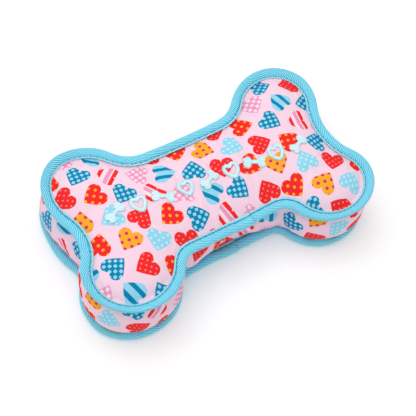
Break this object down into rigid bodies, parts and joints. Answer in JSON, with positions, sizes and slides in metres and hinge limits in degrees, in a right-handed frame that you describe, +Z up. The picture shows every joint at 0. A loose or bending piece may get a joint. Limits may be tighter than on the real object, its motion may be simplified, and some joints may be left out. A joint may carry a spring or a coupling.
{
  "type": "bone-shaped dog toy",
  "caption": "Bone-shaped stuffed dog toy with printed cloth panels, tape-bound seams, embroidered motifs and a squeaker inside.",
  "frame": {"origin": "centre of the bone, on the face that it lies on", "axes": "+X along the bone, +Y across it, +Z up through the embroidered side"},
  "size_m": [0.2348, 0.1428, 0.0538],
  "materials": {
    "printed_cloth": "matte",
    "liner_cloth": "matte",
    "tape_cloth": "matte",
    "tape_thread": "matte",
    "embroidery_thread": "satin",
    "backing_cloth": "matte",
    "stuffing_fibre": "matte",
    "bulb_plastic": "satin",
    "reed_plastic": "gloss"
  },
  "bodies": {
    "toy_body": {"top_panel": "printed_cloth", "bottom_panel": "printed_cloth", "side_strip": "printed_cloth", "top_liner": "liner_cloth", "bottom_liner": "liner_cloth", "side_liner": "liner_cloth", "top_tape": "tape_cloth", "bottom_tape": "tape_cloth", "top_tape_stitching": "tape_thread", "bottom_tape_stitching": "tape_thread", "embroidered_bone_1": "embroidery_thread", "embroidered_bone_2": "embroidery_thread", "embroidered_bone_3": "embroidery_thread", "embroidered_bone_4": "embroidery_thread", "embroidered_bone_5": "embroidery_thread", "embroidered_heart_1": "embroidery_thread", "embroidered_heart_2": "embroidery_thread", "embroidered_heart_3": "embroidery_thread", "embroidered_heart_4": "embroidery_thread", "embroidery_backing": "backing_cloth", "upper_stuffing": "stuffing_fibre", "lower_stuffing": "stuffing_fibre", "squeaker_base": "bulb_plastic", "squeaker_bellows": "bulb_plastic", "reed_tube": "reed_plastic", "reed_seat": "reed_plastic", "reed_clamp": "reed_plastic"},
    "crown": {"squeaker_crown": "bulb_plastic"},
    "reed_blade": {"reed": "reed_plastic"}
  },
  "joints": [
    {"name": "squeaker_press", "type": "slide", "parent": "toy_body", "child": "crown", "axis": [0, 0, -1], "range_m": [0, 0.008], "stiffness_N_per_m": 400, "deforming": ["squeaker_bellows"]},
    {"name": "reed_flutter", "type": "hinge", "parent": "toy_body", "child": "reed_blade", "pos_m": [0, 0, 0.01295], "axis": [0, 1, 0], "range_deg": [-5, 5], "stiffness_Nm_per_rad": 0.001}
  ]
}
